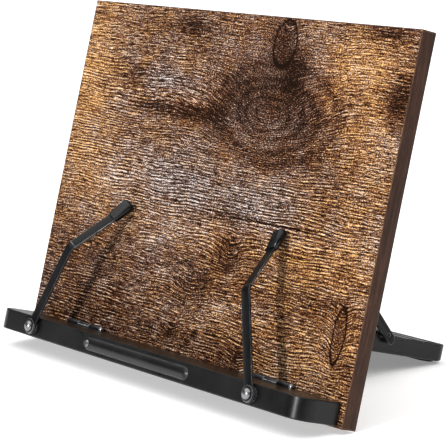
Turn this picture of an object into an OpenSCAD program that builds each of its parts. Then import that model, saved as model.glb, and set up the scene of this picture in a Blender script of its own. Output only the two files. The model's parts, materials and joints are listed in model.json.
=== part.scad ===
// Adjustable book stand: a leaning wooden board with a folding ledge, two swinging page arms,
// and a folding back foot that a U-shaped prop frame holds at the chosen angle.
// Origin: middle of the footprint, on the table. +Z up, the board faces -Y, +X to the reader's right.

/* [Board] */
// Width of the board
board_w = 340; // [300:1:380]
// Height of the board along its face
board_h = 240; // [220:1:280]
// Thickness of the board
board_t = 11; // [9:0.5:14]
// Lean of the board back from the vertical, in degrees
lean = 14.5; // [12:0.5:18]

/* [Ledge] */
// Width of the ledge
ledge_w = 332; // [280:1:336]
// How far the ledge front stands off the board face
ledge_reach = 32; // [28:0.5:38]
// Thickness of the ledge
ledge_t = 14; // [12:0.5:16]
// Radius of the ledge's two front corners
ledge_corner_r = 13; // [8:1:27]

/* [Page arms] */
// Distance from the middle of the stand to each arm's rivet
arm_pivot_x = 120.5; // [100:1:135]
// Width of the arm strip
arm_w = 7.6; // [6:0.2:9]
// Thickness of the arm strip
arm_t = 1.4; // [1:0.1:2]
// Length of the arm from its rivet to its bend
arm_lower_l = 64.5; // [50:0.5:70]
// Length of the arm from its bend to the end of its rubber tip
arm_upper_l = 50.5; // [40:0.5:50.5]
// Angle of the bend towards the board, in degrees
arm_bend = 38.5; // [20:0.5:38.5]
// Inward lean of the left arm, in degrees
left_arm_lean = 24.5; // [0:0.5:40]
// Inward lean of the right arm, in degrees
right_arm_lean = 20.5; // [0:0.5:40]

/* [Foot] */
// Width of the back foot
foot_w = 140; // [110:1:160]
// Thickness of the back foot
foot_t = 12; // [10:0.5:13]
// Length of the back foot behind the board
foot_l = 161; // [158:1:164]
// Height of the foot's top face above the board's bottom edge
foot_top = 53; // [50:0.5:56]
// Number of grooves for the prop frame
groove_count = 4; // [2:1:4]
// Distance between grooves
groove_pitch = 16.5; // [15:0.5:16.5]
// Distance from the foot hinge to the first groove
groove_first = 98.5; // [95:0.5:100]

/* [Prop frame] */
// Height of the prop's pivots above the board's bottom edge
prop_pivot_h = 132; // [128:1:144]
// Width of each prop arm
prop_w = 6.5; // [6:0.5:8]
// Thickness of each prop arm
prop_t = 2.5; // [2:0.1:3]
// Diameter of the prop's cross rod
prop_rod_d = 3.2; // [3:0.1:4]

/* [Hidden] */

$fn = 48;
cut = 1;                 // how far a cutter runs past a face

// Board build-up
band_t = 0.6;
skin_t = 0.5;
core_w = board_w - 2 * band_t;
core_h = board_h - 2 * band_t;

// Pads pressed flat where they meet the table
pad_t = 2;
pad_press = 1;
board_pad_w = 30;
board_pad_d = 8;
board_pad_x = 120;
foot_pad_t = 1.5;
foot_pad_w = 30;
foot_pad_d = 12;
foot_pad_x = 45;
foot_pad_inset = 2;

// Ledge
ledge_gap = 1.2;
ledge_bottom = 1.3;
ledge_top = ledge_bottom + ledge_t;
ledge_edge_r = 0.9;
strip_w = 114;
strip_h = 8.4;
strip_bulge = 1.6;
stud_x = 53;
stud_r = 1.7;
stud_proud = 1.1;

// Butt hinges, shared by the ledge and the foot
hinge_l = 38;
knuckle_gap = 0.3;
knuckle_r = 2;
knuckle_l = (hinge_l - 2 * knuckle_gap) / 3;
knuckle_x = knuckle_l + knuckle_gap;
hinge_pin_r = 1;
pin_clearance = 0.05;
leaf_t = 0.9;
leaf_h = 12.4;
hinge_off = 2.35;        // pivot axis to the face the fixed leaf lies on
hinge_rise = 0.8;        // pivot axis above the folding plate's top face
hinge_recess = 2 * hinge_off;
pin_head_r = 1.5;
pin_head_t = 1.1;
leaf_screw_x = 12;
leaf_screw_drop = 8.4;
leaf_screw_r = 1.1;
leaf_screw_l = 6;
screw_head_r = 2;
screw_head_t = 0.7;
ledge_hinge_x = 102;
ledge_axis_z = ledge_top + hinge_rise;
foot_hinge_x = 40;
foot_axis_z = foot_top + hinge_rise;
foot_axis_y = board_t + hinge_off;

// Page arms
arm_end_r = 5.6;
arm_pivot_z = 8.4;
washer_t = 0.9;
washer_gap = 0.1;
rivet_shank_r = 2.4;
rivet_head_r = 3.6;
rivet_head_h = 2.8;
rivet_tip_r = 1.8;
rivet_depth = 9;
arm_back_y = -ledge_reach - washer_t - washer_gap;
bend_r = 7;
bend_start = arm_lower_l - bend_r * tan(arm_bend / 2);
upper_straight = arm_upper_l - bend_r * tan(arm_bend / 2);
tip_l = 16;
tip_neck_w = 9;
tip_neck_t = 3.6;
tip_neck_r = 1.2;
tip_bulb_w = 11;
tip_bulb_r = 3.3;
tip_bulb_y = 1.1;        // bulb centre in front of the strip's middle
tip_grip = tip_l - 5;    // length of strip inside the rubber tip

// Foot
foot_gap = 1.2;
foot_front_y = board_t + foot_gap;
foot_end_y = foot_front_y + foot_l - foot_gap;
foot_corner_r = 8;
foot_low_r = 2.6;
foot_high_r = 1;
foot_bottom = foot_top - foot_t;
groove_r = 7;
groove_depth = 2.2;

// Prop frame
prop_gap = 2;            // foot side to prop arm
prop_x = foot_w / 2 + prop_gap;
prop_pivot_y = board_t + 5;
rod_rise = 0.5;          // rod centre above the foot's top face, so that it lifts clear
rod_y = foot_axis_y + groove_first;
rod_z = foot_top + rod_rise;
prop_l = norm([rod_y - prop_pivot_y, prop_pivot_h - rod_z]);
prop_angle = atan2(rod_y - prop_pivot_y, prop_pivot_h - rod_z);
prop_tail = 4;           // length of each prop arm beyond the rod
prop_pin_r = 2;
prop_pin_head_r = 3;
prop_pin_head_t = 0.9;
bracket_gap = 0.7;
bracket_t = 1.4;
bracket_base_w = 17;
bracket_base_h = 18;
bracket_screw_h = 5.2;

// Where the leaning board's bottom front edge lies in the stand's frame
base_z = board_t * sin(lean) + pad_t * cos(lean) - pad_press;
front_reach = -arm_back_y + arm_t + washer_gap + washer_t + rivet_head_h;
front_y = -front_reach * cos(lean) + (arm_pivot_z - rivet_tip_r) * sin(lean);
back_y = (foot_end_y - foot_high_r) * cos(lean) + (foot_top - foot_high_r) * sin(lean) + foot_high_r;
base_y = -(front_y + back_y) / 2;

// ---- frames and shared shapes ----

// Draws children in the board's frame: Y runs back through the board, Z runs up its face
module on_board() {
    translate([0, base_y, base_z]) rotate([-lean, 0, 0]) children();
}

// Rectangle from the origin with its two outer corners rounded and its inner ones square
module bullnose(w, h, low_r, high_r) {
    square([w - max(low_r, high_r), h]);
    square([w - low_r, h / 2]);
    translate([0, h / 2]) square([w - high_r, h / 2]);
    translate([0, low_r]) square([w, h - low_r - high_r]);
    translate([w - low_r, low_r]) circle(low_r);
    translate([w - high_r, h - high_r]) circle(high_r);
}

// Flat plate with round outer corners and round edges; the outer edge is at +Y, the bottom at Z = 0
module round_plate(w, l, t, corner_r, low_r, high_r) {
    half = w / 2 - corner_r;
    translate([-half, 0, 0]) rotate([90, 0, 90]) linear_extrude(2 * half) bullnose(l, t, low_r, high_r);
    for (side = [0, 1]) mirror([side, 0, 0]) {
        translate([half, l - corner_r, 0]) rotate_extrude(angle = 90) bullnose(corner_r, t, low_r, high_r);
        translate([half, l - corner_r, 0]) rotate([90, 0, 0])
            linear_extrude(l - corner_r) bullnose(corner_r, t, low_r, high_r);
    }
}

// Cylinder along X, centred
module rod_x(r, l) {
    rotate([0, 90, 0]) cylinder(r = r, h = l, center = true);
}

// One wood screw driven along +Y from the origin, with a flat head in front of it
module wood_screw(r, l, head_r, head_t) {
    rotate([-90, 0, 0]) cylinder(r = r, h = l);
    translate([0, -head_t, 0]) rotate([-90, 0, 0]) cylinder(r1 = head_r * 0.7, r2 = head_r, h = head_t);
}

// ---- butt hinge: pivot along X through the origin, plates hang down from it ----

module leaf_plate(notches) {
    difference() {
        translate([-hinge_l / 2, hinge_off - leaf_t, -leaf_h]) cube([hinge_l, leaf_t, leaf_h]);
        for (x = notches) translate([x, hinge_off, 0]) {
            cube([knuckle_l + 2 * knuckle_gap, 2 * hinge_off, 2 * (knuckle_r + 2 * knuckle_gap)],
                 center = true);
        }
        for (x = [-leaf_screw_x, 0, leaf_screw_x]) translate([x, 0, -leaf_screw_drop])
            rotate([-90, 0, 0]) cylinder(r = leaf_screw_r, h = 2 * hinge_off);
    }
}

module knuckles(places) {
    for (x = places) translate([x, 0, 0]) difference() {
        rod_x(knuckle_r, knuckle_l);
        rod_x(hinge_pin_r + pin_clearance, knuckle_l + 2 * cut);
    }
}

// Leaf that lies on the board, with the two outer knuckles
module board_leaf() {
    leaf_plate([0]);
    knuckles([-knuckle_x, knuckle_x]);
}

// Leaf let into the folding plate, with the middle knuckle
module plate_leaf() {
    mirror([0, 1, 0]) {
        leaf_plate([-knuckle_x, knuckle_x]);
        knuckles([0]);
    }
}

module hinge_pin() {
    rod_x(hinge_pin_r, hinge_l);
    for (side = [-1, 1]) translate([side * (hinge_l + pin_head_t) / 2, 0, 0]) rod_x(pin_head_r, pin_head_t);
}

// Three screws through a leaf into the wood behind it
module leaf_screws() {
    for (x = [-leaf_screw_x, 0, leaf_screw_x]) translate([x, hinge_off - leaf_t, -leaf_screw_drop])
        wood_screw(leaf_screw_r, leaf_screw_l, screw_head_r, screw_head_t);
}

module leaf_screw_holes() {
    for (x = [-leaf_screw_x, 0, leaf_screw_x]) translate([x, 0, -leaf_screw_drop])
        rotate([-90, 0, 0]) cylinder(r = leaf_screw_r, h = hinge_off - leaf_t + leaf_screw_l);
}

module at_ledge_hinge(side) {
    translate([side * ledge_hinge_x, -hinge_off, ledge_axis_z]) children();
}

// The foot's hinges are the same part, turned to face the back of the board
module at_foot_hinge(side) {
    translate([side * foot_hinge_x, foot_axis_y, foot_axis_z]) mirror([0, 1, 0]) children();
}

module at_ledge_hinges() {
    for (side = [-1, 1]) at_ledge_hinge(side) children();
}

module at_foot_hinges() {
    for (side = [-1, 1]) at_foot_hinge(side) children();
}

// ---- board ----

module at_bracket_screws() {
    for (side = [-1, 1], up = [-1, 1])
        translate([side * (prop_x + prop_t + bracket_gap + bracket_base_w * 0.6), board_t + bracket_t,
                   prop_pivot_h + up * bracket_screw_h]) children();
}

module board_holes() {
    at_ledge_hinges() leaf_screw_holes();
    at_foot_hinges() leaf_screw_holes();
    at_bracket_screws() rotate([90, 0, 0]) cylinder(r = leaf_screw_r, h = leaf_screw_l);
}

module board_layer(y, t) {
    difference() {
        translate([-core_w / 2, y, band_t]) cube([core_w, t, core_h]);
        board_holes();
    }
}

module board_core() {
    color("#7a5a3c") on_board() board_layer(skin_t, board_t - 2 * skin_t);
}

module front_laminate() {
    color("#6b4426") on_board() board_layer(0, skin_t);
}

module back_laminate() {
    color("#6b4426") on_board() board_layer(board_t - skin_t, skin_t);
}

module side_band(side) {
    color("#3c322d") on_board()
        translate([side * (board_w - band_t) / 2 - band_t / 2, 0, band_t]) cube([band_t, board_t, core_h]);
}

module end_band(z) {
    color("#3c322d") on_board() translate([-board_w / 2, 0, z]) cube([board_w, board_t, band_t]);
}

module top_edge_band() { end_band(board_h - band_t); }
module bottom_edge_band() { end_band(0); }
module left_edge_band() { side_band(-1); }
module right_edge_band() { side_band(1); }

module above_table() {
    intersection() {
        children();
        translate([-board_w, -board_w, 0]) cube([2 * board_w, 2 * board_w, board_h]);
    }
}

module board_pads() {
    color("#1c1c1e") above_table() on_board() for (side = [-1, 1])
        translate([side * board_pad_x - board_pad_w / 2, board_t - board_pad_d, -pad_t])
            cube([board_pad_w, board_pad_d, pad_t]);
}

// ---- ledge ----

module at_arm(side) {
    translate([side * arm_pivot_x, 0, arm_pivot_z]) children();
}

module ledge() {
    color("#242427") on_board() difference() {
        translate([0, -ledge_gap, ledge_bottom]) mirror([0, 1, 0])
            round_plate(ledge_w, ledge_reach - ledge_gap, ledge_t,
                        ledge_corner_r, ledge_edge_r, ledge_edge_r);
        at_ledge_hinges() translate([-hinge_l / 2 - 2 * pin_head_t, -hinge_off, -leaf_h - knuckle_gap])
            cube([hinge_l + 4 * pin_head_t, hinge_recess, leaf_h + ledge_t]);
        at_ledge_hinges() mirror([0, 1, 0]) leaf_screw_holes();
        for (side = [-1, 1]) at_arm(side) translate([0, -ledge_reach, 0])
            rotate([-90, 0, 0]) translate([0, 0, -cut]) cylinder(r = rivet_shank_r, h = rivet_depth + cut);
        translate([-stud_x, -ledge_reach, arm_pivot_z]) rotate([-90, 0, 0]) translate([0, 0, -cut])
            cylinder(r = stud_r, h = leaf_screw_l + cut);
    }
}

// Low arch on the X axis, half of strip_h wide on each side
module strip_arch() {
    arch_r = (strip_h * strip_h / 4 + strip_bulge * strip_bulge) / (2 * strip_bulge);
    intersection() {
        translate([0, strip_bulge - arch_r]) circle(arch_r);
        translate([-strip_h, 0]) square([2 * strip_h, strip_h]);
    }
}

module half_strip_arch() {
    intersection() {
        strip_arch();
        square([strip_h, strip_h]);
    }
}

// Oblong strip with a rounded face and round ends
module ledge_front_strip() {
    straight = strip_w - strip_h;
    color("#1b1b1d") on_board() translate([0, -ledge_reach, arm_pivot_z]) rotate([90, 0, 0]) difference() {
        union() {
            for (side = [0, 1]) mirror([side, 0, 0]) translate([straight / 2, 0, 0])
                rotate([0, 0, -90]) rotate_extrude(angle = 180) half_strip_arch();
            rotate([90, 0, 90]) linear_extrude(straight, center = true) strip_arch();
        }
        translate([-stud_x, 0, -cut]) cylinder(r = stud_r, h = strip_bulge + 2 * cut);
    }
}

module ledge_strip_stud() {
    color("#c4c6ca") on_board() translate([-stud_x, -ledge_reach, arm_pivot_z]) {
        rotate([-90, 0, 0]) cylinder(r = stud_r, h = leaf_screw_l);
        rotate([90, 0, 0]) cylinder(r = stud_r, h = strip_bulge);
        translate([0, -strip_bulge, 0]) rotate([90, 0, 0])
            cylinder(r1 = stud_r * 1.4, r2 = stud_r, h = stud_proud);
    }
}

// ---- hinges ----

module left_ledge_hinge_board_leaf() { color("#2b2b2e") on_board() at_ledge_hinge(-1) board_leaf(); }
module right_ledge_hinge_board_leaf() { color("#2b2b2e") on_board() at_ledge_hinge(1) board_leaf(); }
module left_ledge_hinge_ledge_leaf() { color("#2b2b2e") on_board() at_ledge_hinge(-1) plate_leaf(); }
module right_ledge_hinge_ledge_leaf() { color("#2b2b2e") on_board() at_ledge_hinge(1) plate_leaf(); }
module left_foot_hinge_board_leaf() { color("#2b2b2e") on_board() at_foot_hinge(-1) board_leaf(); }
module right_foot_hinge_board_leaf() { color("#2b2b2e") on_board() at_foot_hinge(1) board_leaf(); }
module left_foot_hinge_foot_leaf() { color("#2b2b2e") on_board() at_foot_hinge(-1) plate_leaf(); }
module right_foot_hinge_foot_leaf() { color("#2b2b2e") on_board() at_foot_hinge(1) plate_leaf(); }
module ledge_hinge_pins() { color("#b9bcc0") on_board() at_ledge_hinges() hinge_pin(); }
module foot_hinge_pins() { color("#b9bcc0") on_board() at_foot_hinges() hinge_pin(); }
module ledge_hinge_board_screws() { color("#b9bcc0") on_board() at_ledge_hinges() leaf_screws(); }
module ledge_hinge_ledge_screws() {
    color("#b9bcc0") on_board() at_ledge_hinges() mirror([0, 1, 0]) leaf_screws();
}
module foot_hinge_board_screws() { color("#b9bcc0") on_board() at_foot_hinges() leaf_screws(); }
module foot_hinge_foot_screws() {
    color("#b9bcc0") on_board() at_foot_hinges() mirror([0, 1, 0]) leaf_screws();
}

// ---- page arms ----

module rivet(side) {
    color("#c4c6ca") on_board() at_arm(side) {
        stack = washer_t + washer_gap + arm_t + washer_gap + washer_t;
        translate([0, -ledge_reach - stack, 0]) rotate([-90, 0, 0])
            cylinder(r = rivet_shank_r, h = rivet_depth + stack);
        translate([0, -ledge_reach - stack, 0]) rotate([90, 0, 0]) {
            cylinder(r = rivet_head_r, h = rivet_head_h * 0.35);
            translate([0, 0, rivet_head_h * 0.35])
                cylinder(r1 = rivet_head_r, r2 = rivet_tip_r, h = rivet_head_h * 0.65);
        }
    }
}

module left_rivet() { rivet(-1); }
module right_rivet() { rivet(1); }

module washers(y, r) {
    color("#2b2b2e") on_board() for (side = [-1, 1]) at_arm(side) translate([0, y, 0])
        rotate([90, 0, 0]) difference() {
            cylinder(r = r, h = washer_t);
            translate([0, 0, -cut]) cylinder(r = rivet_shank_r, h = washer_t + 2 * cut);
        }
}

module arm_spacer_washers() { washers(-ledge_reach, arm_end_r - 0.4); }
module arm_front_washers() { washers(arm_back_y - arm_t - washer_gap, arm_end_r - 0.4); }

// An arm's own frame: rivet axis along Y through the origin, lower leg up Z, back face at Y = 0
module at_arm_frame(side) {
    lean_in = side < 0 ? left_arm_lean : right_arm_lean;
    on_board() at_arm(side) translate([0, arm_back_y, 0]) rotate([0, -side * lean_in, 0]) children();
}

// Upper leg's frame: starts where the bend ends, Z along the leg, back face at Y = 0
module at_upper_leg() {
    translate([0, bend_r, bend_start]) rotate([-arm_bend, 0, 0])
        translate([0, -bend_r, 0]) children();
}

module arm_metal(strip_end) {
    rotate([90, 0, 0]) cylinder(r = arm_end_r, h = arm_t);
    translate([-arm_w / 2, -arm_t, 0]) cube([arm_w, arm_t, bend_start]);
    translate([arm_w / 2, bend_r, bend_start]) rotate([90, 0, -90])
        rotate_extrude(angle = arm_bend) translate([bend_r, 0]) square([arm_t, arm_w]);
    at_upper_leg() translate([-arm_w / 2, -arm_t, 0]) cube([arm_w, arm_t, strip_end]);
}

module arm_strip(side) {
    color("#262629") at_arm_frame(side) difference() {
        arm_metal(upper_straight - tip_l + tip_grip);
        rotate([90, 0, 0]) translate([0, 0, -cut])
            cylinder(r = rivet_shank_r + pin_clearance, h = arm_t + 2 * cut);
    }
}

module arm_tip(side) {
    color("#101011") at_arm_frame(side) at_upper_leg() difference() {
        translate([0, -arm_t / 2, upper_straight - tip_l]) hull() {
            for (x = [-1, 1], y = [-1, 1])
                translate([x * (tip_neck_w / 2 - tip_neck_r), y * (tip_neck_t / 2 - tip_neck_r), 0])
                    cylinder(r = tip_neck_r, h = 1, $fn = 16);
            for (x = [-1, 1])
                translate([x * (tip_bulb_w / 2 - tip_bulb_r), -tip_bulb_y, tip_l - tip_bulb_r])
                    sphere(tip_bulb_r, $fn = 28);
        }
        translate([-arm_w / 2, -arm_t, upper_straight - tip_l - cut]) cube([arm_w, arm_t, tip_grip + cut]);
    }
}

module left_arm_strip() { arm_strip(-1); }
module right_arm_strip() { arm_strip(1); }
module left_arm_tip() { arm_tip(-1); }
module right_arm_tip() { arm_tip(1); }

// ---- back foot ----

module foot_plate() {
    color("#242427") on_board() difference() {
        translate([0, foot_front_y, foot_bottom])
            round_plate(foot_w, foot_end_y - foot_front_y, foot_t, foot_corner_r, foot_low_r, foot_high_r);
        for (i = [0 : groove_count - 1])
            translate([0, rod_y + i * groove_pitch, foot_top - groove_depth + groove_r])
                rod_x(groove_r, foot_w + 2 * cut);
        at_foot_hinges() translate([-hinge_l / 2 - 2 * pin_head_t, -hinge_off, -leaf_h - knuckle_gap])
            cube([hinge_l + 4 * pin_head_t, hinge_recess, leaf_h + foot_t]);
        at_foot_hinges() mirror([0, 1, 0]) leaf_screw_holes();
    }
}

module foot_pads() {
    color("#1c1c1e") above_table() on_board() for (side = [-1, 1])
        translate([side * foot_pad_x - foot_pad_w / 2, foot_end_y - foot_pad_inset - foot_pad_d,
                   foot_bottom - foot_pad_t])
            cube([foot_pad_w, foot_pad_d, foot_pad_t]);
}

// ---- prop frame ----

module bracket(side) {
    ear_x = prop_x + prop_t + bracket_gap;
    color("#2b2b2e") on_board() mirror([side < 0 ? 1 : 0, 0, 0]) difference() {
        union() {
            translate([ear_x, board_t, prop_pivot_h - bracket_base_h / 2])
                cube([bracket_base_w, bracket_t, bracket_base_h]);
            translate([ear_x, prop_pivot_y, prop_pivot_h]) rotate([0, 90, 0])
                cylinder(r = prop_w / 2, h = bracket_t);
            translate([ear_x, board_t, prop_pivot_h - prop_w / 2])
                cube([bracket_t, prop_pivot_y - board_t, prop_w]);
        }
        translate([ear_x - cut, prop_pivot_y, prop_pivot_h]) rotate([0, 90, 0])
            cylinder(r = prop_pin_r, h = bracket_t + 2 * cut);
        at_bracket_screws() rotate([90, 0, 0]) translate([0, 0, -cut])
            cylinder(r = leaf_screw_r, h = bracket_t + 2 * cut);
    }
}

module left_prop_bracket() { bracket(-1); }
module right_prop_bracket() { bracket(1); }

module prop_bracket_screws() {
    color("#b9bcc0") on_board() at_bracket_screws()
        mirror([0, 1, 0]) wood_screw(leaf_screw_r, leaf_screw_l, screw_head_r, screw_head_t);
}

module prop_pivot_pins() {
    shank_l = prop_t + bracket_gap + bracket_t;
    color("#b9bcc0") on_board() for (side = [-1, 1])
        translate([side * (prop_x + shank_l / 2), prop_pivot_y, prop_pivot_h]) {
            rod_x(prop_pin_r, shank_l);
            for (end = [-1, 1]) translate([end * (shank_l + prop_pin_head_t) / 2, 0, 0])
                rod_x(prop_pin_head_r, prop_pin_head_t);
        }
}

module prop_arm(side) {
    color("#262629") on_board() translate([side * (prop_x + prop_t / 2), prop_pivot_y, prop_pivot_h])
        rotate([prop_angle, 0, 0]) difference() {
            union() {
                rod_x(prop_w / 2, prop_t);
                translate([0, 0, -prop_l - prop_tail]) rod_x(prop_w / 2, prop_t);
                translate([-prop_t / 2, -prop_w / 2, -prop_l - prop_tail])
                    cube([prop_t, prop_w, prop_l + prop_tail]);
            }
            rod_x(prop_pin_r + pin_clearance, prop_t + 2 * cut);
            translate([0, 0, -prop_l]) rod_x(prop_rod_d / 2, prop_t + 2 * cut);
        }
}

module left_prop_arm() { prop_arm(-1); }
module right_prop_arm() { prop_arm(1); }

module prop_rod() {
    color("#262629") on_board() translate([0, rod_y, rod_z]) rod_x(prop_rod_d / 2, 2 * (prop_x + prop_t));
}

board_core();
front_laminate();
back_laminate();
top_edge_band();
bottom_edge_band();
left_edge_band();
right_edge_band();
left_ledge_hinge_board_leaf();
right_ledge_hinge_board_leaf();
ledge_hinge_pins();
ledge_hinge_board_screws();
ledge_hinge_ledge_screws();
left_ledge_hinge_ledge_leaf();
right_ledge_hinge_ledge_leaf();
ledge();
ledge_front_strip();
ledge_strip_stud();
left_rivet();
right_rivet();
arm_spacer_washers();
arm_front_washers();
left_arm_strip();
right_arm_strip();
left_arm_tip();
right_arm_tip();
left_foot_hinge_board_leaf();
right_foot_hinge_board_leaf();
foot_hinge_pins();
foot_hinge_board_screws();
foot_hinge_foot_screws();
left_foot_hinge_foot_leaf();
right_foot_hinge_foot_leaf();
foot_plate();
foot_pads();
board_pads();
left_prop_bracket();
right_prop_bracket();
prop_bracket_screws();
prop_pivot_pins();
left_prop_arm();
right_prop_arm();
prop_rod();
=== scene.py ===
"""Looks of the adjustable book stand: finishes, softened edges, domed rivets and ball-ended pins."""

import json
import math

import bmesh
import bpy
from mathutils import Matrix, Vector


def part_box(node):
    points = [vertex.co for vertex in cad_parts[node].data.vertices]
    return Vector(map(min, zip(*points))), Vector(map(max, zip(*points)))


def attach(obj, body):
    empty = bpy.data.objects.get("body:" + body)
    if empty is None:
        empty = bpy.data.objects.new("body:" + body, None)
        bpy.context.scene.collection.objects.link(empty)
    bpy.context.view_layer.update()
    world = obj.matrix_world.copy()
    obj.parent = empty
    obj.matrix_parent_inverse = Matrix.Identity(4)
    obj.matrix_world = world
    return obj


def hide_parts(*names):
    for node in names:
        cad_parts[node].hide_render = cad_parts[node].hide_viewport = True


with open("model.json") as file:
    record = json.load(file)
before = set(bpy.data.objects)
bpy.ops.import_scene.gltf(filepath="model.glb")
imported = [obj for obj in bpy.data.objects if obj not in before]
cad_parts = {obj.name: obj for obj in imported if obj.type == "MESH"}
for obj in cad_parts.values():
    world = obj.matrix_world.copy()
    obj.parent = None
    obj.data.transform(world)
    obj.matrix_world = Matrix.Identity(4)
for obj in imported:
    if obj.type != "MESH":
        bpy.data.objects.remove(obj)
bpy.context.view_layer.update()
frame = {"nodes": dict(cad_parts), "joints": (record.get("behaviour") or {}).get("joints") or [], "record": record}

MM = 0.001
QUARTER_TURN = math.radians(90)

# ---- the leaning board's own frame: X right, Y back through the board, Z up its face ----

joints = {j["name"]: j for j in frame["joints"]}
board_normal = Vector(joints["left_arm_swing"]["axis"])
LEAN = math.atan2(board_normal.z, -board_normal.y)
band_low, band_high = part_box("bottom_edge_band")
side_low, side_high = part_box("left_edge_band")
BAND_THICKNESS = side_high.x - side_low.x
BOARD_ORIGIN = Vector((0, band_low.y, band_high.z - BAND_THICKNESS * math.cos(LEAN)))
ON_BOARD = Matrix.Translation(BOARD_ORIGIN) @ Matrix.Rotation(-LEAN, 4, "X")
TO_BOARD = ON_BOARD.inverted()


# ---- material graphs ----

class Graph:
    """A material's node tree, built by small calls that each return an output socket."""

    def __init__(self, name):
        self.material = bpy.data.materials.new(name)
        self.material.use_nodes = True
        self.tree = self.material.node_tree
        self.shader = self.tree.nodes["Principled BSDF"]

    def put(self, socket, value):
        if isinstance(value, bpy.types.NodeSocket):
            self.tree.links.new(value, socket)
        else:
            socket.default_value = value

    def node(self, kind, inputs=(), **settings):
        made = self.tree.nodes.new(kind)
        for key, value in settings.items():
            setattr(made, key, value)
        for key, value in dict(inputs).items():
            self.put(made.inputs[key], value)
        return made

    def math(self, operation, a, b=0.0):
        return self.node("ShaderNodeMath", {0: a, 1: b}, operation=operation).outputs[0]

    def add(self, *values):
        total = values[0]
        for value in values[1:]:
            total = self.math("ADD", total, value)
        return total

    def times(self, a, b):
        return self.math("MULTIPLY", a, b)

    def mixed(self, *shares):
        """Sum of (value, share) pairs, each value times its share."""
        return self.add(*(self.times(value, share) for value, share in shares))

    def vector(self, operation, a, b):
        made = self.node("ShaderNodeVectorMath", {0: a, 1: b}, operation=operation)
        return made.outputs["Value"] if operation == "DOT_PRODUCT" else made.outputs[0]

    def noise(self, place, scale=1.0, detail=3.0, roughness=0.5, output="Fac"):
        inputs = {"Vector": place, "Scale": scale, "Detail": detail, "Roughness": roughness}
        return self.node("ShaderNodeTexNoise", inputs).outputs[output]

    def grained(self, place, sizes, **settings):
        """Noise whose grains measure sizes in millimetres along the axes; 0 leaves an axis out."""
        stretch = tuple(1 / size if size else 0 for size in sizes)
        return self.noise(self.vector("MULTIPLY", place, stretch), **settings)

    def centred(self, value, amount):
        """A 0 to 1 value moved to run from -amount / 2 to +amount / 2."""
        return self.times(self.math("SUBTRACT", value, 0.5), amount)

    def spread(self, value, low, high):
        """A value stretched so that low becomes 0 and high becomes 1."""
        inputs = {"Value": value, "From Min": low, "From Max": high}
        return self.node("ShaderNodeMapRange", inputs, clamp=True).outputs["Result"]

    def ramp(self, value, stops):
        """A colour picked from (position, colour) stops."""
        made = self.node("ShaderNodeValToRGB", {"Fac": value})
        elements = made.color_ramp.elements
        while len(elements) < len(stops):
            elements.new(0.5)
        for element, (position, colour) in zip(elements, stops):
            element.position = position
            element.color = (*colour, 1)
        return made.outputs["Color"]

    def mix(self, amount, a, b):
        """Colour a where the amount is 0 and colour b where it is 1."""
        made = self.node("ShaderNodeMix", data_type="RGBA")
        for socket, value in zip((made.inputs[0], made.inputs[6], made.inputs[7]), (amount, a, b)):
            self.put(socket, (*value, 1) if isinstance(value, tuple) else value)
        return made.outputs[2]

    def bump(self, height, strength, distance):
        inputs = {"Height": height, "Strength": strength, "Distance": distance}
        self.put(self.shader.inputs["Normal"], self.node("ShaderNodeBump", inputs).outputs[0])

    def base_colour(self, colour):
        self.put(self.shader.inputs["Base Color"], colour)

    def row_place(self):
        """Place in the row frame, in millimetres."""
        place = self.node("ShaderNodeTexCoord").outputs["Object"]
        return self.vector("MULTIPLY", place, (1 / MM,) * 3)

    def board_place(self):
        """Place in the board's frame, in millimetres."""
        inputs = {"Vector": self.node("ShaderNodeTexCoord").outputs["Object"],
                  "Location": BOARD_ORIGIN, "Rotation": (-LEAN, 0, 0), "Scale": (MM,) * 3}
        return self.node("ShaderNodeMapping", inputs, vector_type="TEXTURE").outputs[0]

    def finish(self, roughness, metallic=0.0, specular=0.5, glow=0.0):
        """The finished material; glow is the strength of white light it gives off."""
        self.put(self.shader.inputs["Roughness"], roughness)
        self.put(self.shader.inputs["Metallic"], metallic)
        self.put(self.shader.inputs["Specular IOR Level"], specular)
        self.put(self.shader.inputs["Emission Color"], (1, 1, 1, 1))
        self.put(self.shader.inputs["Emission Strength"], glow)
        return self.material


# ---- wood-effect laminate ----

# Each table lists ovals on the board's face in millimetres: x, height, half width, half height,
# and then how much the oval does.

# Knots that the grain rises over: rise in millimetres
KNOTS = [
    (46, 176, 46, 24, 25), (-20, 171, 52, 10, 6), (47, 224, 12, 14, 8), (33, 85, 13, 11, 6),
    (151, 53, 8, 18, 7), (0, 58, 15, 11, 4), (-12, 28, 7, 6, 4), (60, 22, 10, 11, 4),
    (95, 32, 34, 13, 5), (-110, 168, 50, 20, 5),
]
# Lighter and darker patches: change of tone
PATCHES = [
    (-158, 190, 30, 60, 0.22), (118, 216, 42, 24, 0.22), (150, 160, 34, 34, 0.14), (128, 96, 60, 20, 0.10),
    (-120, 120, 70, 20, 0.12), (-25, 92, 60, 12, 0.10), (125, 32, 34, 18, 0.12), (25, 42, 42, 14, 0.16),
    (-120, 62, 60, 22, -0.14), (-120, 22, 70, 22, -0.20), (20, 68, 34, 24, -0.13), (20, 24, 90, 24, -0.12),
    (22, 184, 32, 16, -0.17), (78, 180, 24, 24, -0.17), (47, 222, 12, 15, -0.26), (62, 203, 12, 14, -0.28),
    (-28, 170, 28, 6, -0.36), (-76, 172, 22, 4, -0.30), (-50, 228, 22, 7, -0.32), (163, 197, 11, 12, -0.50),
    (142, 236, 20, 6, -0.34), (0, 58, 16, 12, -0.16), (-12, 28, 5, 5, -0.44), (13, 30, 4, 3, -0.36),
    (60, 22, 9, 11, -0.20), (33, 85, 12, 11, -0.24), (151, 53, 7, 17, -0.12), (132, 69, 20, 7, -0.14),
    (22, 110, 18, 4, -0.22), (90, 150, 70, 8, -0.08), (-110, 192, 14, 5, -0.16),
]
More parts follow.
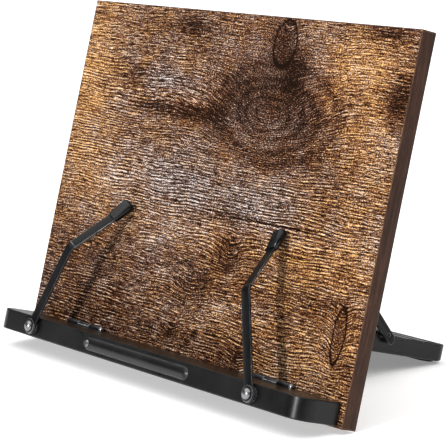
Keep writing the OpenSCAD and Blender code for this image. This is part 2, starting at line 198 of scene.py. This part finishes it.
# Greyed, weathered stretches and warm ones: change of greyness
GREY = [
    (-35, 124, 60, 20, 0.65), (62, 120, 46, 14, 0.50), (-62, 190, 30, 8, 0.50), (-20, 70, 60, 20, 0.20),
    (130, 70, 70, 60, -0.35), (120, 200, 60, 40, -0.35), (-158, 180, 30, 70, -0.35),
    (-120, 60, 60, 50, -0.10), (50, 190, 44, 36, 0.45), (20, 70, 34, 22, -0.30), (-100, 36, 70, 34, 0.10),
]
# Dark outlines of single knots: strength
OUTLINES = [(47, 223, 11, 15, 0.40), (151, 53, 5.5, 17, 0.70), (33, 86, 9, 9, 0.26)]
# Growth rings of the large knot, wavering with the grain: strength
RINGS = [
    (43, 177, 11, 6, 0.18), (42, 177, 22, 11, 0.20), (45, 178, 34, 17, 0.18), (44, 176, 48, 24, 0.16),
    (50, 178, 62, 32, 0.14),
]
# Where the grain stands in plain parallel lines: strength
RIDGED = [
    (115, 112, 75, 34, 0.8), (95, 28, 85, 30, 0.8), (-130, 150, 55, 46, 0.8), (-20, 118, 70, 24, 0.8),
    (-120, 30, 60, 26, 0.8),
]
# Where the lines dissolve into speckle: share of the lines lost
SPECKLED = [(40, 196, 52, 40, 0.8), (151, 53, 5, 14, 0.8)]
# Long thin crack: darkness
CRACKS = [(80, 109.5, 44, 0.8, 0.5)]

WANDER_SPAN = (20, 0, 6)   # how far the pattern wanders along the board and up it, mm
LINE_PITCH = 2.1           # distance between the plain parallel lines, mm
TONE_LEVEL = 0.305         # place on the tone ramps before anything is added
GREY_LEVEL = 0.36          # share of grey before anything is added
RING_SHARPNESS = 11.0      # how thin an oval's outline is drawn

# Colours from the darkest grain line to the lightest
WARM_TONES = [
    (0.00, (0.009, 0.003, 0.001)), (0.22, (0.044, 0.014, 0.005)), (0.40, (0.128, 0.048, 0.021)),
    (0.56, (0.235, 0.100, 0.030)), (0.76, (0.470, 0.235, 0.072)), (1.00, (0.730, 0.450, 0.170)),
]
GREY_TONES = [
    (0.00, (0.006, 0.003, 0.002)), (0.22, (0.034, 0.016, 0.010)), (0.40, (0.105, 0.064, 0.048)),
    (0.56, (0.190, 0.145, 0.135)), (0.76, (0.385, 0.338, 0.325)), (1.00, (0.690, 0.640, 0.620)),
]


def oval_reach(graph, place, x, height, half_width, half_height):
    """Squared distance from a spot on the board's face, in units of an oval's half sizes."""
    offset = graph.vector("SUBTRACT", place, (x, 0, height))
    scaled = graph.vector("MULTIPLY", offset, (1 / half_width, 0, 1 / half_height))
    return graph.vector("DOT_PRODUCT", scaled, scaled)


def blob(graph, place, *oval):
    """1 in an oval's middle, fading to 0 round it."""
    return graph.math("EXPONENT", graph.times(oval_reach(graph, place, *oval), -1.0))


def ring(graph, place, *oval):
    """1 along an oval's outline, fading to 0 on both sides of it."""
    radius = graph.math("SQRT", oval_reach(graph, place, *oval))
    gap = graph.times(graph.math("SUBTRACT", radius, 1.0), RING_SHARPNESS)
    return graph.math("EXPONENT", graph.times(graph.times(gap, gap), -1.0))


def layered(graph, start, place, ovals, shape, gain=1.0):
    """The start value with each oval's own amount, times the gain, added where its shape is."""
    value = start
    for *oval, amount in ovals:
        value = graph.add(value, graph.times(shape(graph, place, *oval), gain * amount))
    return value


def wood_laminate(name, knots, patches, grey, ridged, rings=(), outlines=(), cracks=(), speckled=()):
    """Printed and embossed wood grain running along the board, bent round its knots."""
    g = Graph(name)
    place = g.board_place()
    wobble = g.grained(place, (60, 0, 30), scale=1.3, output="Color")
    wander = g.vector("MULTIPLY", g.vector("SUBTRACT", wobble, (0.5, 0.5, 0.5)), WANDER_SPAN)
    soft_place = g.vector("ADD", place, wander)
    fine_place = g.vector("ADD", place, g.vector("MULTIPLY", wander, (0.25, 0, 0.35)))
    axes = g.node("ShaderNodeSeparateXYZ", {0: soft_place})
    x, height = axes.outputs[0], axes.outputs[2]
    grain = layered(g, height, soft_place, knots, blob)

    def along_grain(length, pitch, **settings):
        """Noise drawn out along the grain, its streaks length by pitch millimetres."""
        scaled = g.node("ShaderNodeCombineXYZ", {0: g.times(x, 1 / length), 1: g.times(grain, 1 / pitch)})
        return g.noise(scaled.outputs[0], **settings)

    # Tones along the grain from broad to fine, then those that take no notice of it
    bands = along_grain(length=75, pitch=9, detail=3.0, roughness=0.55)
    streaks = along_grain(length=22, pitch=0.78, detail=1.0, roughness=0.5)
    threads = along_grain(length=6, pitch=0.52, detail=1.0, roughness=0.5)
    speckle = g.grained(place, (1.3, 1, 0.65), detail=1.0, roughness=0.6)
    fleck = g.grained(place, (2.6, 1, 0.9), detail=2.0, roughness=0.7)
    cloud = g.grained(place, (30, 0, 20), detail=4.0, roughness=0.6)
    # Plain parallel lines, only where the noise and the ridged ovals let them through
    plain = layered(g, g.add(0.35, g.centred(g.grained(place, (50, 0, 26)), 1.2)), place, ridged, blob)
    wave = g.math("SINE", g.add(g.times(grain, 2 * math.pi / LINE_PITCH), g.centred(bands, 8.0)))
    ridges = g.times(wave, g.math("MAXIMUM", plain, 0.0))

    lined = layered(g, 1.0, fine_place, speckled, blob, gain=-1.0)
    lines = g.add(g.centred(bands, 0.24), g.centred(streaks, 1.35), g.centred(threads, 2.0),
                  g.times(ridges, 0.24))
    tone = g.add(TONE_LEVEL, g.times(lines, lined), g.centred(speckle, 2.2), g.centred(cloud, 0.22))
    tone = layered(g, tone, soft_place, patches, blob)
    tone = layered(g, tone, soft_place, rings, ring, gain=-1.0)
    tone = layered(g, tone, fine_place, outlines, ring, gain=-1.0)
    tone = layered(g, tone, fine_place, cracks, blob, gain=-1.0)

    greyness = g.add(GREY_LEVEL, g.centred(cloud, 1.8), g.centred(fleck, 4.0))
    greyness = g.spread(layered(g, greyness, soft_place, grey, blob), 0.0, 1.0)
    g.base_colour(g.mix(greyness, g.ramp(tone, WARM_TONES), g.ramp(tone, GREY_TONES)))
    g.bump(g.mixed((streaks, 0.5), (threads, 0.4), (ridges, 0.3), (speckle, 0.4)), 0.55, 0.35 * MM)
    return g.finish(g.add(0.62, g.times(speckle, 0.25)), specular=0.03)


def worn_and_highlit_edges(g, reach):
    """1 along sharp edges, broken up as real wear is; it marks worn edges and painted edge highlights."""
    rounded = g.node("ShaderNodeBevel", {"Radius": reach}, samples=6).outputs[0]
    flat = g.node("ShaderNodeNewGeometry").outputs["Normal"]
    facing = g.vector("DOT_PRODUCT", rounded, flat)
    edge = g.spread(facing, 0.985, 0.90)
    patchy = g.spread(g.noise(g.row_place(), scale=0.12, detail=5.0, roughness=0.7), 0.35, 0.65)
    return g.times(edge, patchy)


def edge_band():
    """Dark printed band, its streaks running along the board's edge."""
    g = Graph("edge_band")
    place = g.board_place()
    upright = g.grained(place, (1.2, 1.2, 22), detail=4.0, roughness=0.6)
    level = g.grained(place, (22, 1.2, 3), detail=3.0, roughness=0.6)
    blotch = g.grained(place, (9, 9, 14), detail=3.0)
    tone = g.mixed((upright, 0.6), (level, 0.2), (blotch, 0.2))
    stops = [(0.30, (0.012, 0.006, 0.004)), (0.50, (0.040, 0.018, 0.011)), (0.72, (0.088, 0.041, 0.023))]
    # The band's sharp edges are painted light amber: partly wear, partly a painted highlight along the arris.
    worn_and_lit = g.times(worn_and_highlit_edges(g, 0.8 * MM), 0.8)
    g.base_colour(g.mix(worn_and_lit, g.ramp(tone, stops), (0.36, 0.21, 0.12)))
    g.bump(upright, 0.35, 0.2 * MM)
    return g.finish(g.add(0.5, g.times(blotch, 0.2)), specular=0.15)


def fibreboard():
    """Raw pressed fibres of the board's core."""
    g = Graph("fibreboard")
    fibres = g.noise(g.row_place(), scale=1.4, detail=5.0, roughness=0.7)
    g.base_colour(g.ramp(fibres, [(0.3, (0.20, 0.12, 0.07)), (0.7, (0.42, 0.29, 0.18))]))
    g.bump(fibres, 0.5, 0.3 * MM)
    return g.finish(0.9, specular=0.15)


def painted(name, colour, edge_wear_and_highlight, roughness, peel, wear_and_highlight=0.6, specular=0.35):
    """Coated surface: slightly uneven gloss, fine orange peel, and sharp edges painted another colour, partly wear
    and partly painted edge highlight.
    """
    g = Graph(name)
    place = g.row_place()
    smudge = g.noise(place, scale=0.045, detail=5.0, roughness=0.65)
    grain = g.noise(place, scale=1.6, detail=3.0, roughness=0.6)
    paler = tuple(c * 1.7 + 0.004 for c in colour)
    base = g.mix(g.spread(smudge, 0.35, 0.75), colour, paler)
    # Sharp edges are painted lighter: partly wear, partly painted edge highlight.
    worn_and_lit = g.times(worn_and_highlit_edges(g, 0.7 * MM), wear_and_highlight)
    g.base_colour(g.mix(worn_and_lit, base, edge_wear_and_highlight))
    g.bump(grain, peel, 0.12 * MM)
    gloss = g.add(roughness - 0.09, g.times(smudge, 0.16), g.times(grain, 0.05))
    return g.finish(gloss, specular=specular)


def steel(name, colour, roughness, scratch):
    """Bare bright metal with fine turned scratches and a few dull spots."""
    g = Graph(name)
    place = g.row_place()
    scratches = g.noise(g.vector("MULTIPLY", place, (0.5, 6.0, 6.0)), detail=4.0, roughness=0.7)
    dull = g.noise(place, scale=0.5, detail=3.0)
    darker = tuple(c * 0.62 for c in colour)
    g.base_colour(g.mix(g.spread(dull, 0.45, 0.75), colour, darker))
    g.bump(scratches, scratch, 0.05 * MM)
    return g.finish(g.add(roughness, g.times(dull, 0.18)), metallic=1.0)


def rubber(name, colour, roughness):
    """Dark rubber with a fine grain and a faint dusty bloom."""
    g = Graph(name)
    place = g.row_place()
    grain = g.noise(place, scale=2.2, detail=3.0, roughness=0.6)
    bloom = g.noise(place, scale=0.25, detail=4.0)
    dusty = tuple(c * 2.2 + 0.004 for c in colour)
    g.base_colour(g.mix(g.spread(bloom, 0.5, 0.85), colour, dusty))
    g.bump(grain, 0.12, 0.1 * MM)
    return g.finish(g.add(roughness, g.times(bloom, 0.12)), specular=0.3)


def floor_finish():
    """Pale studio sweep."""
    g = Graph("studio_floor")
    cloudy = g.noise(g.row_place(), scale=0.004, detail=2.0)
    g.base_colour(g.ramp(cloudy, [(0.0, (0.90, 0.90, 0.90)), (1.0, (0.93, 0.93, 0.93))]))
    return g.finish(0.85, specular=0.1, glow=FLOOR_GLOW)


# The board's back, which the photo doesn't show: the same tables as for its front
BACK_KNOTS = [(-70, 90, 30, 16, 30), (60, 190, 40, 20, 18), (110, 60, 14, 10, 14)]
BACK_PATCHES = [
    (-70, 90, 18, 10, -0.26), (60, 190, 30, 14, -0.16), (-130, 200, 50, 30, 0.20), (120, 130, 60, 30, 0.20),
    (0, 30, 90, 20, -0.10),
]
BACK_GREY = [(20, 120, 70, 22, 0.5)]
BACK_RIDGED = [(0, 120, 150, 60, 0.8)]

FRONT_WOOD = wood_laminate("wood_front", KNOTS, PATCHES, GREY, RIDGED, rings=RINGS, outlines=OUTLINES,
                           cracks=CRACKS, speckled=SPECKLED)
BACK_WOOD = wood_laminate("wood_back", BACK_KNOTS, BACK_PATCHES, BACK_GREY, BACK_RIDGED)
EDGE_BAND = edge_band()
FIBREBOARD = fibreboard()
# The edge colours below are painted lighter than the coat: partly wear, partly painted edge highlights.
BLACK_PAINT = painted("black_paint", (0.002, 0.002, 0.002), edge_wear_and_highlight=(0.06, 0.06, 0.06),
                      roughness=0.28, peel=0.05, specular=0.26)
BLACK_STEEL = painted("black_steel", (0.002, 0.002, 0.0025), edge_wear_and_highlight=(0.50, 0.50, 0.50),
                      roughness=0.34, peel=0.16, wear_and_highlight=1.0, specular=0.14)
BLACK_PLASTIC = painted("black_plastic", (0.003, 0.003, 0.0035), edge_wear_and_highlight=(0.10, 0.10, 0.10),
                        roughness=0.30, peel=0.7, specular=0.3)
HINGE_STEEL = painted("hinge_steel", (0.004, 0.004, 0.005), edge_wear_and_highlight=(0.75, 0.75, 0.75),
                      roughness=0.30, peel=0.12, wear_and_highlight=1.0)
BRIGHT_STEEL = steel("bright_steel", (0.26, 0.26, 0.27), roughness=0.20, scratch=0.12)
GLOSSY_RUBBER = rubber("glossy_rubber", (0.002, 0.002, 0.0025), roughness=0.20)
PAD_RUBBER = rubber("pad_rubber", (0.013, 0.013, 0.014), roughness=0.62)

FINISHES = {
    "front_laminate": FRONT_WOOD, "back_laminate": BACK_WOOD, "board_core": FIBREBOARD,
    "top_edge_band": EDGE_BAND, "bottom_edge_band": EDGE_BAND,
    "left_edge_band": EDGE_BAND, "right_edge_band": EDGE_BAND,
    "ledge": BLACK_PAINT, "foot_plate": BLACK_PAINT, "ledge_front_strip": BLACK_PLASTIC,
    "left_arm_strip": BLACK_STEEL, "right_arm_strip": BLACK_STEEL,
    "left_prop_arm": BLACK_STEEL, "right_prop_arm": BLACK_STEEL,
    "left_prop_bracket": BLACK_STEEL, "right_prop_bracket": BLACK_STEEL, "prop_rod": BLACK_STEEL,
    "arm_front_washers": HINGE_STEEL, "arm_spacer_washers": BLACK_STEEL,
    "left_arm_tip": GLOSSY_RUBBER, "right_arm_tip": GLOSSY_RUBBER,
    "board_pads": PAD_RUBBER, "foot_pads": PAD_RUBBER,
}
# A node without a finish of its own is bright steel if its name has one of these, else hinge steel
BRIGHT_WORDS = ("rivet", "stud", "pins", "screws")


def finish_of(node):
    if node in FINISHES:
        return FINISHES[node]
    return BRIGHT_STEEL if any(word in node for word in BRIGHT_WORDS) else HINGE_STEEL


for node_name, node_object in frame["nodes"].items():
    node_object.data.materials.clear()
    node_object.data.materials.append(finish_of(node_name))


# ---- meshes ----

BODIES = frame["record"]["behaviour"]["bodies"]
BODY_OF = {node: body for body, members in BODIES.items() for node in members}

RIVET_DOME = 2.8 * MM      # height of a rivet's head
RIVET_RIM = 0.90           # share of that height above the head's widest ring
RIVET_STEPS = 8            # rings from the widest one to the top
BALL_RADIUS = 1.9 * MM     # ball ends of the hinge pins
# Which end of the pin, and the turns of the ball's outline there in degrees
BALL_OUTLINES = ((-1, range(-72, 60, 12)), (1, range(-48, 84, 12)))
MERGE_DISTANCE = 1e-6      # CAD corners closer than this are one, in metres
FLAT_ANGLE = math.radians(0.5)     # CAD faces that meet at less than this are one
# Widths of the softened edges, mm
EDGE_WIDTHS = {
    "front_laminate": 0.18, "back_laminate": 0.18, "left_edge_band": 0.2, "right_edge_band": 0.2,
    "top_edge_band": 0.2, "bottom_edge_band": 0.2, "left_arm_strip": 0.35, "right_arm_strip": 0.35,
    "left_prop_arm": 0.5, "right_prop_arm": 0.5, "left_prop_bracket": 0.3, "right_prop_bracket": 0.3,
    "arm_front_washers": 0.2,
}
LEAF_EDGE_WIDTH = 0.25


def shade(mesh, angle):
    """Smooth shading, with the edges that turn by more than an angle in degrees kept crisp."""
    for polygon in mesh.polygons:
        polygon.use_smooth = True
    mesh.set_sharp_from_angle(angle=math.radians(angle))


def stand_in(name, mesh, node, finish):
    """Shows a mesh, already in the row frame, in place of a CAD node."""
    piece = bpy.data.objects.new(name, mesh)
    bpy.context.scene.collection.objects.link(piece)
    mesh.materials.clear()
    mesh.materials.append(finish)
    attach(piece, BODY_OF[node])
    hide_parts(node)


def board_box(node):
    """Low and high corners of a CAD node in the board's frame."""
    points = [TO_BOARD @ v.co for v in frame["nodes"][node].data.vertices]
    return (Vector(min(p[i] for p in points) for i in range(3)),
            Vector(max(p[i] for p in points) for i in range(3)))


def lathe(name, profile, axis_place, segments=48):
    """Surface turned from (radius, height) points; axis_place carries its +Z axis into the row frame."""
    shape = bmesh.new()
    rings = []
    for radius, height in profile:
        count = 1 if radius == 0 else segments
        rings.append([shape.verts.new((radius * math.cos(2 * math.pi * i / segments),
                                       radius * math.sin(2 * math.pi * i / segments), height))
                      for i in range(count)])
    for low, high in zip(rings, rings[1:]):
        for i in range(segments):
            j = (i + 1) % segments
            corners = [low[i % len(low)], low[j % len(low)], high[j % len(high)], high[i % len(high)]]
            shape.faces.new(list(dict.fromkeys(corners)))
    bmesh.ops.recalc_face_normals(shape, faces=shape.faces)
    shape.transform(axis_place)
    mesh = bpy.data.meshes.new(name)
    shape.to_mesh(mesh)
    shape.free()
    shade(mesh, 40)
    return mesh


def rivet(node):
    """Domed rivet head on its shank, standing out of the ledge's front."""
    low, high = board_box(node)
    head_radius = (high.x - low.x) / 2
    shank_radius = head_radius * 0.66
    length = high.y - low.y
    under_head = length - RIVET_DOME
    profile = [(0, 0), (shank_radius, 0), (shank_radius, under_head), (head_radius * 0.94, under_head),
               (head_radius, length - RIVET_DOME * RIVET_RIM)]
    for step in range(1, RIVET_STEPS + 1):
        turn = QUARTER_TURN * step / RIVET_STEPS
        profile.append((head_radius * math.cos(turn) if step < RIVET_STEPS else 0,
                        length - RIVET_DOME * RIVET_RIM * (1 - math.sin(turn))))
    place = Matrix.Translation(((low.x + high.x) / 2, high.y, (low.z + high.z) / 2))
    mesh = lathe(node + "_domed", profile, ON_BOARD @ place @ Matrix.Rotation(QUARTER_TURN, 4, "X"))
    stand_in(node + "_domed", mesh, node, BRIGHT_STEEL)


def hinge_pins(node, leaves, joint):
    """Pins with ball ends, one along each leaf, all on the joint's axis."""
    centre = Vector(joints[joint]["pos_m"])
    shape = bmesh.new()
    for leaf in leaves:
        low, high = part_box(leaf)
        half = (high[0] - low[0]) / 2
        profile = [(0, -half - BALL_RADIUS)]
        for end, degrees in BALL_OUTLINES:
            turns = [math.radians(turn) for turn in degrees]
            profile += [(BALL_RADIUS * math.cos(turn), end * half + BALL_RADIUS * math.sin(turn))
                        for turn in turns]
        profile.append((0, half + BALL_RADIUS))
        place = Matrix.Translation((low[0] + half, centre.y, centre.z))
        turned = lathe(node, profile, place @ Matrix.Rotation(QUARTER_TURN, 4, "Y"), segments=24)
        shape.from_mesh(turned)
        bpy.data.meshes.remove(turned)
    mesh = bpy.data.meshes.new(node + "_turned")
    shape.to_mesh(mesh)
    shape.free()
    shade(mesh, 60)
    stand_in(node + "_turned", mesh, node, BRIGHT_STEEL)


def softened(node, width, limit=35):
    """The CAD node's shape, its edges sharper than the limit rounded by a width in millimetres.

    A width of 0 leaves the edges as they are and only smooths the shading.
    """
    mesh = frame["nodes"][node].data.copy()
    shape = bmesh.new()
    shape.from_mesh(mesh)
    bmesh.ops.remove_doubles(shape, verts=shape.verts, dist=MERGE_DISTANCE)
    bmesh.ops.dissolve_limit(shape, angle_limit=FLAT_ANGLE, verts=shape.verts, edges=shape.edges)
    if width:
        sharp = [e for e in shape.edges
                 if len(e.link_faces) == 2 and e.calc_face_angle() > math.radians(limit)]
        bmesh.ops.bevel(shape, geom=sharp, offset=width * MM, segments=2, profile=0.5,
                        affect="EDGES", clamp_overlap=True)
    shape.to_mesh(mesh)
    shape.free()
    shade(mesh, limit)
    stand_in(node + "_soft", mesh, node, finish_of(node))


for node_name, edge_width in EDGE_WIDTHS.items():
    softened(node_name, edge_width)
for hinge, joint in (("ledge", "ledge_fold"), ("foot", "foot_fold")):
    leaves = [f"{side}_{hinge}_hinge_board_leaf" for side in ("left", "right")]
    hinge_pins(hinge + "_hinge_pins", leaves, joint)
    for leaf in leaves + [name.replace("board_leaf", hinge + "_leaf") for name in leaves]:
        softened(leaf, LEAF_EDGE_WIDTH)
for side in ("left", "right"):
    rivet(side + "_rivet")
    softened(side + "_arm_tip", width=0, limit=48)


# ---- stage, light and camera ----

CAMERA_AZIMUTH = math.radians(52.56)
CAMERA_ELEVATION = math.radians(9.49)
CAMERA_DISTANCE = 1.3893   # m
CAMERA_REACH = 100         # how far the camera sees, m
AIM = ON_BOARD @ Vector((0.0223, 0, 0.1037))     # spot on the board that the camera looks at
SENSOR = 36.0              # mm
LENS = 174.4               # mm
FLOOR_HALF = 12.0          # m
FLOOR_GLOW = 0.25          # a lit sweep, which keeps the shadows pale
# Direction each light comes from, its strength and its apparent size in degrees
LIGHTS = {
    "key": ((0.20, -0.93, 0.30), 2.95, 3),
    "front_fill": ((-0.1, -0.75, 0.75), 0.25, 60),
    "overhead": ((-0.1, -0.1, 1.0), 1.45, 90),
    "back_fill": ((0.5, 0.8, 0.6), 0.7, 60),
}
# Dark low walls and a bright ceiling: height of the direction, brightness
SKY_LEVELS = ((0.40, 0.07), (0.85, 1.0))


def make_floor():
    mesh = bpy.data.meshes.new("floor")
    corners = [(x * FLOOR_HALF, y * FLOOR_HALF, 0) for x, y in ((-1, -1), (1, -1), (1, 1), (-1, 1))]
    mesh.from_pydata(corners, [], [(0, 1, 2, 3)])
    mesh.materials.append(floor_finish())
    floor = bpy.data.objects.new("floor", mesh)
    bpy.context.scene.collection.objects.link(floor)


def make_sun(name, direction, strength, softness):
    """Distant studio light shining from a direction; softness is its apparent size in degrees."""
    light = bpy.data.lights.new(name, "SUN")
    light.energy = strength
    light.angle = math.radians(softness)
    lamp = bpy.data.objects.new(name, light)
    lamp.rotation_mode = "QUATERNION"
    lamp.rotation_quaternion = Vector(direction).to_track_quat("Z", "Y")
    lamp.location = Vector(direction) * 2
    bpy.context.scene.collection.objects.link(lamp)


def make_camera():
    data = bpy.data.cameras.new("camera")
    data.sensor_width = SENSOR
    data.lens = LENS
    camera = bpy.data.objects.new("camera", data)
    back = Vector((math.sin(CAMERA_AZIMUTH) * math.cos(CAMERA_ELEVATION),
                   -math.cos(CAMERA_AZIMUTH) * math.cos(CAMERA_ELEVATION), math.sin(CAMERA_ELEVATION)))
    camera.location = AIM + back * CAMERA_DISTANCE
    camera.rotation_mode = "QUATERNION"
    camera.rotation_quaternion = back.to_track_quat("Z", "Y")
    data.clip_end = CAMERA_REACH
    bpy.context.scene.collection.objects.link(camera)
    bpy.context.scene.camera = camera


def make_sky():
    """World whose brightness depends only on how high one looks."""
    world = bpy.data.worlds.new("studio")
    world.use_nodes = True
    tree = world.node_tree
    direction = tree.nodes.new("ShaderNodeTexCoord").outputs["Generated"]
    split = tree.nodes.new("ShaderNodeSeparateXYZ")
    shades = tree.nodes.new("ShaderNodeValToRGB")
    for element, (height, level) in zip(shades.color_ramp.elements, SKY_LEVELS):
        element.position = height
        element.color = (level, level, level, 1)
    tree.links.new(direction, split.inputs[0])
    tree.links.new(split.outputs["Z"], shades.inputs["Fac"])
    tree.links.new(shades.outputs["Color"], tree.nodes["Background"].inputs["Color"])
    bpy.context.scene.world = world


make_floor()
make_camera()
for light_name, (light_direction, light_strength, light_softness) in LIGHTS.items():
    make_sun(light_name, light_direction, light_strength, light_softness)
make_sky()
bpy.context.scene.view_settings.view_transform = "Standard"
